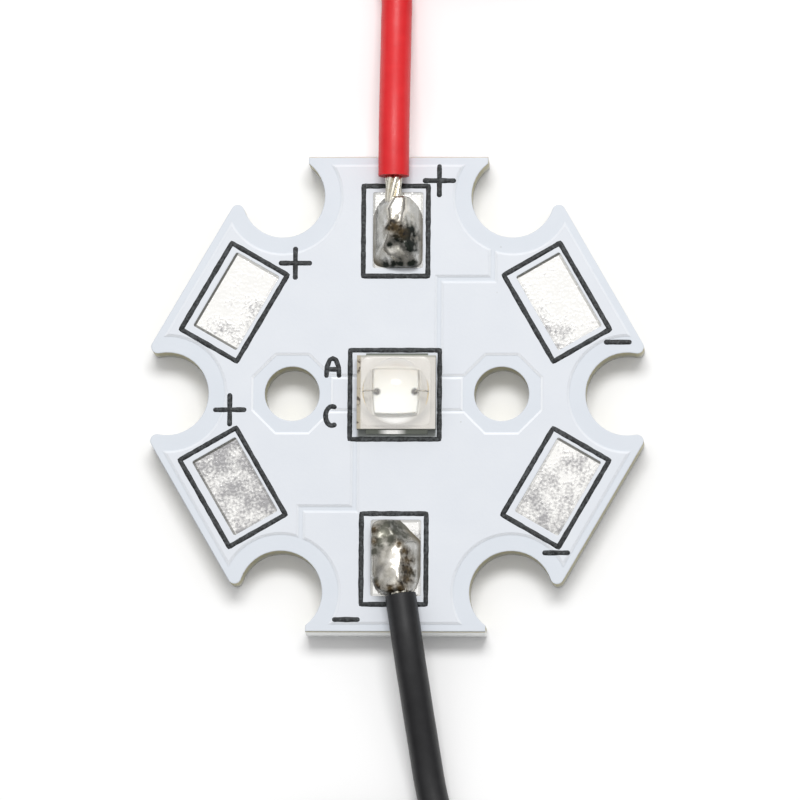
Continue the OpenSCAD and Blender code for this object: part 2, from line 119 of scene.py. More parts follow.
sky_bright_side = (0.0, 0.24, 0.97)
sky_light = 0.95
rim_ends_at = 0.15
rim_light = 0.09
rim_in_mirrors = 0.2
sky = bpy.data.worlds.new("sky")
sky.use_nodes = True
bpy.context.scene.world = sky
tree = sky.node_tree
direction = put(tree, "ShaderNodeTexCoord").outputs["Generated"]
overhead = put(tree, "ShaderNodeVectorMath", {0: direction, 1: sky_bright_side}, operation="DOT_PRODUCT")
mirrored = put(tree, "ShaderNodeLightPath").outputs["Is Glossy Ray"]
rim = ramp(tree, mirrored, 0, 1, rim_light, rim_in_mirrors)
glow = put(tree, "ShaderNodeMapRange", {
    "Value": overhead.outputs["Value"], "From Min": rim_ends_at, "From Max": 1.0,
    "To Min": rim, "To Max": sky_light,
}, interpolation_type="SMOOTHSTEP")
tree.links.new(glow.outputs["Result"], tree.nodes["Background"].inputs["Strength"])
tree.nodes["Background"].inputs["Color"].default_value = (1, 1, 1, 1)

softbox_at = Vector((25, 230, 470)) * MM
softbox_wide = 260 * MM
softbox_deep = 160 * MM
softbox_watts = 1.65
bpy.ops.object.light_add(type="AREA", location=softbox_at)
softbox = bpy.context.object
softbox.name = "softbox"
softbox.data.shape = "RECTANGLE"
softbox.data.size = softbox_wide
softbox.data.size_y = softbox_deep
softbox.data.energy = softbox_watts
softbox.visible_camera = False


# Aluminium base: a rolled sheet, bare underneath, broken out of its panel along two scored
# edges and routed elsewhere; its routed walls turn olive-brown towards their top. It carries the other
# layers.
def dress(material, *names):
    """Gives CAD nodes a material."""
    for name in names:
        nodes[name].material_slots[0].material = material


def object_place(tree, **mapping):
    """Where a point lies on the object, moved, turned or stretched."""
    place = put(tree, "ShaderNodeTexCoord").outputs["Object"]
    return put(tree, "ShaderNodeMapping", {"Vector": place, **mapping}).outputs["Vector"]


def blend(tree, share, first, second):
    """A colour between two others."""
    return put(tree, "ShaderNodeMix", {0: share, 6: first, 7: second}, data_type="RGBA").outputs[2]


def count(tree, operation, *values):
    """A number worked out from others."""
    return put(tree, "ShaderNodeMath", dict(enumerate(values)), operation=operation).outputs[0]


def measure(tree, operation, *values):
    """A number or a place worked out from places."""
    made = put(tree, "ShaderNodeVectorMath", dict(enumerate(values)), operation=operation)
    gives_number = operation in ("DISTANCE", "DOT_PRODUCT", "LENGTH")
    return made.outputs["Value" if gives_number else "Vector"]


def split(tree, place):
    """The X, Y and Z of a place."""
    return put(tree, "ShaderNodeSeparateXYZ", {"Vector": place}).outputs


def grain(tree, place, size, detail=3.0):
    """A soft random pattern with patches about as wide as size."""
    pattern = put(tree, "ShaderNodeTexNoise", {"Vector": place, "Scale": 1 / size, "Detail": detail})
    return pattern.outputs["Fac"]


def relief(tree, shader, height, depth, strength=1.0):
    """Raises and lowers the look of a surface by a pattern."""
    bump = put(tree, "ShaderNodeBump", {"Height": height, "Distance": depth, "Strength": strength})
    tree.links.new(bump.outputs["Normal"], shader.inputs["Normal"])


def steepness(tree):
    """1 on upright walls, 0 on faces that look up or down."""
    normal = put(tree, "ShaderNodeNewGeometry").outputs["Normal"]
    up = split(tree, normal)["Z"]
    flat = count(tree, "ABSOLUTE", up)
    return ramp(tree, flat, 0.2, 0.95, 1, 0)


olive_ragged = 0.8 * MM
olive_from, olive_to = 0.5 * MM, 1.3 * MM
score_from, score_to = 9.92 * MM, 9.98 * MM

aluminium, tree, shader = start_material("aluminium", Metallic=1.0)
rolled = grain(tree, object_place(tree, Scale=(0.03, 1, 1)), 0.05 * MM, 5)
milled = grain(tree, object_place(tree, Scale=(1, 1, 0.08)), 0.08 * MM, 4)
sheet_tone = blend(tree, rolled, (0.58, 0.59, 0.61, 1), (0.80, 0.81, 0.82, 1))
clean_tone = blend(tree, milled, (0.42, 0.42, 0.40, 1), (0.66, 0.66, 0.63, 1))
olive_tone = blend(tree, milled, (0.28, 0.255, 0.135, 1), (0.53, 0.50, 0.34, 1))
broken_tone = blend(tree, milled, (0.68, 0.69, 0.68, 1), (0.86, 0.87, 0.86, 1))
steps = split(tree, object_place(tree))
# The routed walls turn olive-brown towards their top, along a ragged edge.
uneven = count(tree, "MULTIPLY_ADD", milled, olive_ragged, steps["Z"])
routed_tone = blend(tree, ramp(tree, uneven, olive_from, olive_to), clean_tone, olive_tone)
to_score = count(tree, "ABSOLUTE", steps["Y"])
scored = ramp(tree, to_score, score_from, score_to)
wall_tone = blend(tree, scored, routed_tone, broken_tone)
tree.links.new(blend(tree, steepness(tree), sheet_tone, wall_tone), shader.inputs["Base Color"])
tree.links.new(ramp(tree, milled, 0.3, 0.7, 0.38, 0.55), shader.inputs["Roughness"])
relief(tree, shader, rolled, 0.004 * MM)
dress(aluminium, "aluminium_base")


# Dielectric: a thin sheet of filled epoxy, pressed between the base and the copper foil.
# Only its edge shows, as a thin cream line round the board and in the holes.
dielectric, tree, shader = start_material("dielectric", Roughness=0.6)
filler = grain(tree, object_place(tree), 0.06 * MM)
epoxy_tone = blend(tree, filler, (0.52, 0.46, 0.26, 1), (0.66, 0.60, 0.38, 1))
tree.links.new(epoxy_tone, shader.inputs["Base Color"])
relief(tree, shader, filler, 0.01 * MM)
dress(dielectric, "dielectric_layer")


# Copper: foil etched into an anode net, a cathode net and an island under the LED. It lies
# under the mask and the tin, so it shows only as their relief.
copper, tree, shader = start_material("copper", Metallic=1.0)
etched = grain(tree, object_place(tree), 0.12 * MM, 4)
copper_tone = blend(tree, etched, (0.72, 0.34, 0.18, 1), (0.88, 0.50, 0.32, 1))
tree.links.new(copper_tone, shader.inputs["Base Color"])
tree.links.new(ramp(tree, etched, 0.3, 0.7, 0.3, 0.5), shader.inputs["Roughness"])
dress(copper, "anode_copper", "cathode_copper", "thermal_copper")


# Solder mask: white paint, screened over the copper and cured. It sags over the copper's
# edges, where it is thick and white, with a painted highlight, looks bluer off the copper, and has specks
# and a flux stain with a painted shadow below the LED.
half_copper = 0.018 * MM
slope_drop = 0.033 * MM
slope_soft = 0.003 * MM
hole_out = 4.4 * MM
hole_ring = (2.1 * MM, 2.7 * MM)
step_round = 0.06 * MM
speck_spacing = 0.9 * MM
painted_shadow_half = (1.6 * MM, 1.78 * MM)
painted_shadow_soft = 0.1 * MM
painted_shadow_reach = 1 * MM

mask, tree, shader = start_material("white_mask", Specular_IOR_Level=0.35)
place = object_place(tree)
steps = split(tree, place)
height = steps["Z"]
over_copper = ramp(tree, height, board_top - 1.3 * half_copper, board_top - 0.7 * half_copper)
cloud = grain(tree, place, 1.6 * MM, 2)
fine = grain(tree, place, 0.14 * MM, 3)
mask_tone = blend(tree, cloud, (0.67, 0.70, 0.75, 1), (0.72, 0.745, 0.785, 1))
low_tone = blend(tree, cloud, (0.635, 0.675, 0.73, 1), (0.68, 0.715, 0.765, 1))
level_tone = blend(tree, over_copper, low_tone, mask_tone)
# On the slopes over the copper's edges the mask is whiter: pooled mask, and a painted highlight, strongest
# round the holes.
off_foot = ramp(tree, height, board_top - slope_drop, board_top - slope_drop + slope_soft)
off_top = ramp(tree, height, board_top - 2 * slope_soft, board_top - slope_soft, 1, 0)
on_slope = count(tree, "MULTIPLY", off_foot, off_top)
one_quarter = measure(tree, "ABSOLUTE", place)
from_hole = measure(tree, "DISTANCE", one_quarter, (hole_out, 0, board_top))
thick_and_highlit = ramp(tree, from_hole, *hole_ring, 0.9, 0.42)
pooled_and_painted_highlight = count(tree, "MULTIPLY", on_slope, thick_and_highlit)
tone = blend(tree, pooled_and_painted_highlight, level_tone, (0.85, 0.87, 0.90, 1))
cells = put(tree, "ShaderNodeTexVoronoi", {
    "Vector": place, "Scale": 1 / speck_spacing, "Randomness": 1.0})
near_speck = ramp(tree, cells.outputs["Distance"], 0.02, 0.05, 1, 0)
some_cells = ramp(tree, cells.outputs["Color"], 0.72, 0.73)
speck = count(tree, "MULTIPLY", near_speck, some_cells)
speck_share = count(tree, "MULTIPLY", speck, 0.35)
specked = blend(tree, speck_share, tone, (0.34, 0.33, 0.30, 1))
# Below the LED: a dark olive band, partly flux and partly the LED's shadow painted on the mask.
aside = count(tree, "ABSOLUTE", steps["X"])
beside_led = ramp(tree, aside, painted_shadow_half[0], painted_shadow_half[0] + painted_shadow_soft, 1, 0)
below_led = ramp(tree, steps["Y"], -painted_shadow_half[1] - painted_shadow_soft, -painted_shadow_half[1])
in_painted_shadow = count(tree, "MULTIPLY", beside_led, below_led)
southern = ramp(tree, steps["Y"], -painted_shadow_reach, 0, 0.8, 0)
flux_and_painted_shadow = count(tree, "MULTIPLY", in_painted_shadow, southern)
tree.links.new(blend(tree, flux_and_painted_shadow, specked, (0.13, 0.145, 0.12, 1)), shader.inputs["Base Color"])
tree.links.new(ramp(tree, fine, 0.3, 0.7, 0.3, 0.42), shader.inputs["Roughness"])
rounded = put(tree, "ShaderNodeBevel", {"Radius": step_round}, samples=8).outputs["Normal"]
orange_peel = put(tree, "ShaderNodeBump", {
    "Height": fine, "Distance": 0.004 * MM, "Strength": 0.6, "Normal": rounded})
tree.links.new(orange_peel.outputs["Normal"], shader.inputs["Normal"])
dress(mask, "solder_mask")


# Legend: black ink, screen printed in one pass. Frames stand round the pads and the LED, and
# signs and letters mark the polarity. The ink lines are domed and follow the mask's relief.
ink_w = 0.21
ink_rise = 0.022
ink_rough = 0.16
ink_rough_per_mm = 3.1
stroke_step = 0.05
stroke_tip = 0.01
merge_gap = 0.001 * MM
frame_shift = (-0.09, -0.04)
wire_frame = (3.82, 2.72)
spare_frame = (2.72, 4.22)
led_frame = (3.76, 3.76)
wire_pad_out = 6.93
spare_pad_out = 7.83
plus_arm = 0.7
plus_places = [(-4.31, 5.53), (1.73, 9.03), (-7.02, -0.68)]
minus_half = 0.58
minus_places = [(9.26, 2.19), (6.72, -6.7), (-2.07, -9.52)]
letter_w, letter_h = 0.27, 0.41
letter_a_leg = [(-letter_w, -letter_h), (-0.25, 0.02), (-0.13, 0.34)]
letter_a_bar = [(-0.25, -0.06), (0.25, -0.06)]
letter_a_at = (-2.70, 1.09)
letter_c_at = (-2.72, -0.94)


def frame_corners(size, turn, out):
    """The corners of a printed rectangle that lies on an arm of the board."""
    half_out, half_along = size[0] / 2, size[1] / 2
    a = math.radians(turn)
    corners = []
    for du, dv in ((-1, -1), (1, -1), (1, 1), (-1, 1)):
        u, v = out + du * half_out, dv * half_along
        x = u * math.cos(a) - v * math.sin(a) + frame_shift[0]
        y = u * math.sin(a) + v * math.cos(a) + frame_shift[1]
        corners.append((x, y))
    return corners


def moved(points, to):
    """A stroke at its place on the board."""
    return [(x + to[0], y + to[1]) for x, y in points]


def even_steps(points, closed):
    """Points along a line, about one stroke step apart."""
    ends = points[1:] + points[:1] if closed else points[1:]
    row = []
    for (x0, y0), (x1, y1) in zip(points, ends):
        parts = max(1, round(math.hypot(x1 - x0, y1 - y0) / stroke_step))
        row += [(x0 + (x1 - x0) * i / parts, y0 + (y1 - y0) * i / parts) for i in range(parts)]
    return row if closed else row + [points[-1]]


def round_curve(name, radius, roundness):
    """An empty curve whose strokes are round and capped."""
    curve = bpy.data.curves.new(name, "CURVE")
    curve.dimensions = "3D"
    curve.bevel_depth = radius
    curve.bevel_resolution = roundness
    curve.use_fill_caps = True
    return curve


def welded_mesh(name, curve):
    """A mesh made from a curve, with the caps welded to its strokes."""
    made = bpy.data.objects.new(name, curve)
    bpy.context.scene.collection.objects.link(made)
    bpy.ops.object.select_all(action="DESELECT")
    made.select_set(True)
    bpy.context.view_layer.objects.active = made
    bpy.ops.object.convert(target="MESH")
    made = bpy.context.object
    made.name = name
    bpy.ops.object.mode_set(mode="EDIT")
    bpy.ops.mesh.select_all(action="SELECT")
    bpy.ops.mesh.remove_doubles(threshold=merge_gap)
    bpy.ops.object.mode_set(mode="OBJECT")
    bpy.ops.object.shade_smooth()
    return made


strokes = [(frame_corners(led_frame, 0, 0), True)]
for turn in (90, 270):
    strokes.append((frame_corners(wire_frame, turn, wire_pad_out), True))
for turn in (30, 150, 210, 330):
    strokes.append((frame_corners(spare_frame, turn, spare_pad_out), True))
for middle in plus_places:
    strokes.append((moved([(-plus_arm, 0), (plus_arm, 0)], middle), False))
    strokes.append((moved([(0, -plus_arm), (0, plus_arm)], middle), False))
for middle in minus_places:
    strokes.append((moved([(-minus_half, 0), (minus_half, 0)], middle), False))
letter_a = letter_a_leg + [(0, letter_h)] + [(-x, y) for x, y in reversed(letter_a_leg)]
strokes.append((moved(letter_a, letter_a_at), False))
strokes.append((moved(letter_a_bar, letter_a_at), False))
letter_c = []
for degrees in range(50, 311, 20):
    a = math.radians(degrees)
    letter_c.append((letter_w * math.cos(a), letter_h * math.sin(a)))
strokes.append((moved(letter_c, letter_c_at), False))

curve = round_curve("printed_legend", ink_w / 2 * MM, 3)
for points, closed in strokes:
    row = even_steps(points, closed)
    spline = curve.splines.new("POLY")
    spline.points.add(len(row) - 1)
    spline.use_cyclic_u = closed
    for i, (x, y) in enumerate(row):
        spline.points[i].co = (x * MM, y * MM, 0, 1)
        rough_at = Vector((x * ink_rough_per_mm, y * ink_rough_per_mm, 0.7))
        rough_edge = 1 + ink_rough * noise.noise(rough_at)
        to_end = stroke_step * min(i, len(row) - 1 - i) + stroke_tip
        tip = 1 - min(1, to_end / (ink_w / 2))
        spline.points[i].radius = rough_edge * (1 if closed else math.sqrt(1 - tip * tip))
legend = welded_mesh("printed_legend", curve)
well_above = 10 * MM
for vertex in legend.data.vertices:
    above = Vector((vertex.co.x, vertex.co.y, well_above))
    hit, point = nodes["solder_mask"].ray_cast(above, Vector((0, 0, -1)))[:2]
    surface = point.z if hit else board_top
    vertex.co.z = surface + vertex.co.z * ink_rise / (ink_w / 2)

ink, tree, shader = start_material("black_ink", Specular_IOR_Level=0.28)
place = object_place(tree)
blotch = grain(tree, place, 0.11 * MM, 4)
thin = ramp(tree, blotch, 0.44, 0.66)
ink_tone = blend(tree, thin, (0.010, 0.012, 0.013, 1), (0.068, 0.074, 0.078, 1))
tree.links.new(ink_tone, shader.inputs["Base Color"])
tree.links.new(ramp(tree, blotch, 0.3, 0.7, 0.38, 0.62), shader.inputs["Roughness"])
relief(tree, shader, blotch, 0.012 * MM)
legend.data.materials.append(ink)
dress(ink, "legend_frames")
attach(legend, "root")
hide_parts("legend_frames")


# Pads: bare copper dipped in molten tin and blown level, so the tin is mottled and crusted.
# Each pad lies in an opening of the mask, whose edge casts a thin shadow, painted as a dark line on the
# tin.
def mottled_tin_group():
    """Tin that froze in patches: colour, roughness and height from a place on the pad."""
    group = bpy.data.node_groups.new("mottled_tin", "ShaderNodeTree")
    group.interface.new_socket("Place", in_out="INPUT", socket_type="NodeSocketVector")
    group.interface.new_socket("Dullness", in_out="INPUT", socket_type="NodeSocketFloat")
    group.interface.new_socket("Color", in_out="OUTPUT", socket_type="NodeSocketColor")
    group.interface.new_socket("Roughness", in_out="OUTPUT", socket_type="NodeSocketFloat")
    group.interface.new_socket("Height", in_out="OUTPUT", socket_type="NodeSocketFloat")
    given = group.nodes.new("NodeGroupInput")
    result = group.nodes.new("NodeGroupOutput")
    place = given.outputs["Place"]
    patches = grain(group, place, 0.8 * MM, 4)
    crust = grain(group, place, 0.12 * MM, 4)
    mixed = count(group, "MULTIPLY_ADD", crust, 0.8, patches)
    dirty = count(group, "ADD", mixed, given.outputs["Dullness"])
    dull = ramp(group, dirty, 0.92, 1.22)
    tone = blend(group, dull, (0.95, 0.94, 0.915, 1), (0.33, 0.325, 0.33, 1))
    group.links.new(tone, result.inputs["Color"])
    group.links.new(ramp(group, dirty, 0.8, 1.3, 0.12, 0.22), result.inputs["Roughness"])
    group.links.new(mixed, result.inputs["Height"])
    return group


mottled_tin = mottled_tin_group()
pad_half = (1.05, 1.8)
wire_half = (1.6, 1.05)
edge_shadow_w = 0.11 * MM
# For each pad: the turn of its arm, its half size, how dull it is, the way in which it gets
# duller, and how dark the painted shadow line is at its outer side and on counter-clockwise.
pads = {
    "anode_wire_pad": (90, wire_half, 0.0, (0, 0), (0.4, 0.5, 0.3, 0.3)),
    "anode_upper_pad": (150, pad_half, -0.06, (50, -90), (0.95, 0.8, 0.1, 0.5)),
    "anode_lower_pad": (210, pad_half, 0.24, (20, 30), (0.7, 0.15, 0.3, 0.95)),
    "cathode_wire_pad": (270, wire_half, 0.0, (0, 0), (0.3, 0.3, 0.4, 0.5)),
    "cathode_lower_pad": (330, pad_half, 0.12, (0, -50), (0.15, 0.9, 0.3, 0.15)),
    "cathode_upper_pad": (30, pad_half, -0.05, (-60, -90), (0.45, 0.95, 0.1, 0.1)),
}
for name, (turn, half, dullness, worse_towards, shades) in pads.items():
    low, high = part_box(name)
    middle = (low + high) / 2
    tin, tree, shader = start_material("tin_" + name, Metallic=1.0)
    place = put(tree, "ShaderNodeTexCoord").outputs["Object"]
    from_middle = measure(tree, "SUBTRACT", place, middle)
    # The mask's edge casts a thin shadow on the tin, painted here as a dark line, as dark on each side as
    # the table gives.
    edge_shadow = 0.0
    for side, shade in enumerate(shades):
        a = math.radians(turn + 90 * side)
        outwards = Vector((math.cos(a), math.sin(a)))
        edge_at = half[side % 2] * MM
        reached = measure(tree, "DOT_PRODUCT", from_middle, (*outwards, 0))
        edge = ramp(tree, reached, edge_at - edge_shadow_w, edge_at - 0.8 * edge_shadow_w, 0, shade)
        edge_shadow = count(tree, "MAXIMUM", edge_shadow, edge)
    worse = measure(tree, "DOT_PRODUCT", from_middle, (*worse_towards, 0))
    look = put(tree, "ShaderNodeGroup", node_tree=mottled_tin)
    tree.links.new(place, look.inputs["Place"])
    tree.links.new(count(tree, "ADD", worse, dullness), look.inputs["Dullness"])
    edge_shadowed = blend(tree, edge_shadow, look.outputs["Color"], (0.10, 0.10, 0.09, 1))
    tree.links.new(edge_shadowed, shader.inputs["Base Color"])
    tree.links.new(look.outputs["Roughness"], shader.inputs["Roughness"])
    relief(tree, shader, look.outputs["Height"], 0.014 * MM, 0.7)
    dress(tin, name)


# LED carrier: a block of ceramic with gold terminals below and gold lands above. It is
# soldered to the copper by its three terminals, with a toe of solder at two edges.
glint_x = -0.18 * MM
glint_half, glint_ends = 0.2 * MM, 0.6 * MM
south_soft = 0.5 * MM

led_solder, tree, shader = start_material("led_solder", Metallic=1.0)
look = put(tree, "ShaderNodeGroup", node_tree=mottled_tin)
tree.links.new(object_place(tree), look.inputs["Place"])
look.inputs["Dullness"].default_value = -0.1
steps = split(tree, object_place(tree, Location=(-glint_x, 0, 0)))
from_glint = count(tree, "ABSOLUTE", steps["X"])
middle = ramp(tree, from_glint, glint_half, glint_ends, 1, 0)
southern = ramp(tree, steps["Y"], -south_soft, south_soft, 1, 0)
glint = count(tree, "MULTIPLY", middle, southern)
# Painted shade and highlight: the solder toe is dark all over, but for a painted glint in the middle of
# its south side.
toe_shade_and_glint = blend(tree, glint, (0.14, 0.15, 0.13, 1), look.outputs["Color"])
tree.links.new(toe_shade_and_glint, shader.inputs["Base Color"])
tree.links.new(ramp(tree, southern, 0, 1, 0.6, 0.2), shader.inputs["Roughness"])
relief(tree, shader, look.outputs["Height"], 0.02 * MM)
dress(led_solder, "led_anode_solder", "led_cathode_solder", "led_thermal_solder")

gold, tree, shader = start_material("gold_plate", Metallic=1.0)
plating = grain(tree, object_place(tree), 0.05 * MM)
gold_tone = blend(tree, plating, (0.78, 0.56, 0.22, 1), (0.92, 0.74, 0.38, 1))
tree.links.new(gold_tone, shader.inputs["Base Color"])
tree.links.new(ramp(tree, plating, 0.3, 0.7, 0.25, 0.4), shader.inputs["Roughness"])
dress(gold, "led_anode_terminal", "led_cathode_terminal", "led_thermal_terminal",
      "led_anode_land", "led_cathode_land")

painted_caustic_spot = (0, -0.55 * MM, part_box("led_ceramic")[1].z)
painted_caustic_r, painted_caustic_ends = 0.3 * MM, 0.7 * MM
brown_to, brown_ends = -1.52 * MM, -1.46 * MM
grey_starts, grey_from = 1.44 * MM, 1.5 * MM
dome_shadow_in = (1.1 * MM, 1.3 * MM)
dome_shadow_out = (1.5 * MM, 1.75 * MM)
dome_shadow_south = (-0.9 * MM, -0.3 * MM)

ceramic, tree, shader = start_material("led_ceramic", Roughness=0.5)
place = object_place(tree)
sinter = grain(tree, place, 0.07 * MM, 4)
pale_top = blend(tree, sinter, (0.57, 0.545, 0.50, 1), (0.66, 0.635, 0.59, 1))
dots = ramp(tree, grain(tree, place, 0.2 * MM, 2), 0.36, 0.46)
brown_top = blend(tree, dots, (0.07, 0.05, 0.03, 1), (0.42, 0.37, 0.28, 1))
steps = split(tree, place)
brown_strip = ramp(tree, steps["X"], brown_to, brown_ends, 1, 0)
grey_strip = ramp(tree, steps["Y"], grey_starts, grey_from)
grey_topped = blend(tree, grey_strip, pale_top, (0.40, 0.40, 0.35, 1))
brown_topped = blend(tree, brown_strip, grey_topped, brown_top)
# Painted light: a pale patch on the ceramic south of the chip, where the dome would focus light.
from_pale = measure(tree, "DISTANCE", place, painted_caustic_spot)
painted_caustic = ramp(tree, from_pale, painted_caustic_r, painted_caustic_ends, 1, 0)
painted_caustic_topped = blend(tree, painted_caustic, brown_topped, (0.97, 0.96, 0.93, 1))
# Painted shadow: grey crescents on the ceramic round the dome's foot, on its south side.
flat = measure(tree, "MULTIPLY", place, (1, 1, 0))
from_axis = measure(tree, "LENGTH", flat)
past_chip = ramp(tree, from_axis, *dome_shadow_in)
near_dome = ramp(tree, from_axis, *dome_shadow_out, 1, 0)
round_dome = count(tree, "MULTIPLY", past_chip, near_dome)
southern = ramp(tree, steps["Y"], *dome_shadow_south, 0.6, 0)
painted_dome_shadow = count(tree, "MULTIPLY", round_dome, southern)
ceramic_top = blend(tree, painted_dome_shadow, painted_caustic_topped, (0.34, 0.33, 0.315, 1))
# Painted shade: the ceramic's upright sides are dark olive, as if in shade.
ceramic_side_painted_shade = blend(tree, sinter, (0.16, 0.17, 0.14, 1), (0.30, 0.30, 0.25, 1))
tree.links.new(blend(tree, steepness(tree), ceramic_top, ceramic_side_painted_shade), shader.inputs["Base Color"])
relief(tree, shader, sinter, 0.01 * MM)
dress(ceramic, "led_ceramic")


# LED chip: a thin square of crystal on a land of its own, with two bond wires on its edges.
# Its top is pale with a thin dark rim, and dark where the wires are welded; painted light and shade make
# it whiter to the south and greyer to the north, and the rim fades out to the south.
chip_low, chip_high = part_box("led_chip")
chip_half = (chip_high.x - chip_low.x) / 2
chip_rim = 0.02 * MM
weld_r = 0.13 * MM
weld_inset = 0.1 * MM

chip, tree, shader = start_material(
    "led_chip", Roughness=0.35, Subsurface_Weight=1.0, Subsurface_Radius=(1, 0.95, 0.85),
    Subsurface_Scale=0.07 * MM)
place = object_place(tree)
steps = split(tree, place)
wide = count(tree, "ABSOLUTE", steps["X"])
tall = count(tree, "ABSOLUTE", steps["Y"])
outer = count(tree, "MAXIMUM", wide, tall)
rim = ramp(tree, outer, chip_half - chip_rim, chip_half - 0.6 * chip_rim)
to_weld = count(tree, "SUBTRACT", wide, chip_half - weld_inset)
from_weld = put(tree, "ShaderNodeCombineXYZ", {"X": to_weld, "Y": tall})
weld_far = measure(tree, "LENGTH", from_weld.outputs[0])
weld = ramp(tree, weld_far, 0.6 * weld_r, weld_r, 1, 0)
cast = grain(tree, place, 0.2 * MM)
bright_tone = blend(tree, cast, (0.92, 0.915, 0.845, 1), (0.95, 0.945, 0.88, 1))
# Painted light and shade: the chip is whiter to the south, where the dome would focus light, and greyer to
# the north.
painted_shade_north = ramp(tree, steps["Y"], -0.2 * chip_half, 0.9 * chip_half)
chip_tone = blend(tree, painted_shade_north, bright_tone, (0.76, 0.735, 0.68, 1))
upper_rim = ramp(tree, steps["Y"], -0.3 * chip_half, 0.8 * chip_half, 0, 0.8)
rim_share = count(tree, "MULTIPLY", rim, upper_rim)
rimmed = blend(tree, rim_share, chip_tone, (0.42, 0.39, 0.33, 1))
tree.links.new(blend(tree, weld, rimmed, (0.07, 0.06, 0.05, 1)), shader.inputs["Base Color"])
dress(chip, "led_chip")

bond_wire, tree, shader = start_material("bond_wire", Metallic=1.0)
drawn = grain(tree, object_place(tree), 0.04 * MM)
wire_tone = blend(tree, drawn, (0.26, 0.24, 0.20, 1), (0.42, 0.39, 0.33, 1))
tree.links.new(wire_tone, shader.inputs["Base Color"])
tree.links.new(ramp(tree, drawn, 0.3, 0.7, 0.25, 0.45), shader.inputs["Roughness"])
dress(bond_wire, "led_anode_bond_wire", "led_cathode_bond_wire")

chip_land, tree, shader = start_material("chip_land", Roughness=0.4)
place = object_place(tree)
plating = grain(tree, place, 0.08 * MM)
dull_land = blend(tree, plating, (0.70, 0.68, 0.62, 1), (0.80, 0.775, 0.72, 1))
across = split(tree, place)["Y"]
# Painted light: the land is whiter to the south of the chip, where the dome would focus light.
southern = ramp(tree, across, -chip_half, -0.2 * chip_half, 1, 0)
tree.links.new(blend(tree, southern, dull_land, (0.96, 0.955, 0.92, 1)), shader.inputs["Base Color"])
dress(chip_land, "led_chip_land")


# Lens: clear silicone, moulded over the chip in one shot: a square foot with round corners
# and a dome. It is cast onto the ceramic, so its underside lies just in the ceramic's skin.
lens_low, lens_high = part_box("led_lens")
foot_w = lens_high.x - lens_low.x
foot_thick = 0.3 * MM
foot_top = lens_low.z + foot_thick
foot_sink = 0.01 * MM
foot_tall = foot_top - lens_low.z + foot_sink
foot_corner = 0.35 * MM
foot_edge = 0.06 * MM
dome_r = lens_high.z - foot_top
dome_sink = 0.15 * MM


def round_edges(block, chosen, radius, segments):
    """Rounds the edges of a block whose two ends pass a test."""
    bpy.ops.object.mode_set(mode="EDIT")
    bpy.ops.mesh.select_mode(type="EDGE")
    bpy.ops.mesh.select_all(action="DESELECT")
    bpy.ops.object.mode_set(mode="OBJECT")
    for edge in block.data.edges:
        edge.select = chosen(*(block.data.vertices[i].co for i in edge.vertices))
    bpy.ops.object.mode_set(mode="EDIT")
    bpy.ops.mesh.bevel(offset=radius, segments=segments)
    bpy.ops.object.mode_set(mode="OBJECT")


bpy.ops.object.select_all(action="DESELECT")
bpy.ops.mesh.primitive_cube_add(size=1, location=(0, 0, 0))
lens = bpy.context.object
lens.name = "lens_casting"
bpy.ops.object.mode_set(mode="EDIT")
bpy.ops.mesh.select_all(action="SELECT")
bpy.ops.transform.resize(value=(foot_w, foot_w, foot_tall))
bpy.ops.transform.translate(value=(0, 0, foot_top - foot_tall / 2))
bpy.ops.object.mode_set(mode="OBJECT")
round_edges(lens, lambda a, b: abs(a.z - b.z) > foot_tall / 2, foot_corner, 10)
round_edges(lens, lambda a, b: min(a.z, b.z) > foot_top - 0.1 * foot_tall, foot_edge, 4)

bpy.ops.object.select_all(action="DESELECT")
bpy.ops.mesh.primitive_uv_sphere_add(segments=96, ring_count=48, radius=dome_r, location=(0, 0, 0))
dome = bpy.context.object
bpy.ops.object.mode_set(mode="EDIT")
bpy.ops.mesh.select_all(action="SELECT")
bpy.ops.mesh.bisect(
    plane_co=(0, 0, -dome_sink), plane_no=(0, 0, 1), use_fill=True, clear_inner=True, threshold=merge_gap)
bpy.ops.mesh.select_all(action="SELECT")
bpy.ops.transform.translate(value=(0, 0, foot_top))
bpy.ops.object.mode_set(mode="OBJECT")
joining = lens.modifiers.new("dome", "BOOLEAN")
joining.operation = "UNION"
joining.solver = "EXACT"
joining.object = dome
bpy.ops.object.select_all(action="DESELECT")
lens.select_set(True)
bpy.context.view_layer.objects.active = lens
bpy.ops.object.modifier_apply(modifier=joining.name)
bpy.data.objects.remove(dome)
bpy.ops.object.shade_smooth_by_angle(angle=math.radians(35))

silicone, tree, shader = start_material(
    "clear_silicone", Base_Color=(1.0, 0.99, 0.975, 1), IOR=1.41, Specular_IOR_Level=0.5,
    Transmission_Weight=0.85)
haze = grain(tree, object_place(tree), 0.15 * MM, 3)
tree.links.new(ramp(tree, haze, 0.3, 0.7, 0.12, 0.2), shader.inputs["Roughness"])
ray = put(tree, "ShaderNodeLightPath").outputs
lights = count(tree, "MAXIMUM", ray["Is Shadow Ray"], ray["Is Diffuse Ray"])
clear = put(tree, "ShaderNodeBsdfTransparent").outputs["BSDF"]
lit_through = put(tree, "ShaderNodeMixShader", {0: lights, 1: shader.outputs["BSDF"], 2: clear})
tree.links.new(lit_through.outputs["Shader"], tree.nodes["Material Output"].inputs["Surface"])
lens.data.materials.clear()
lens.data.materials.append(silicone)
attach(lens, "root")
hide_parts("led_lens")


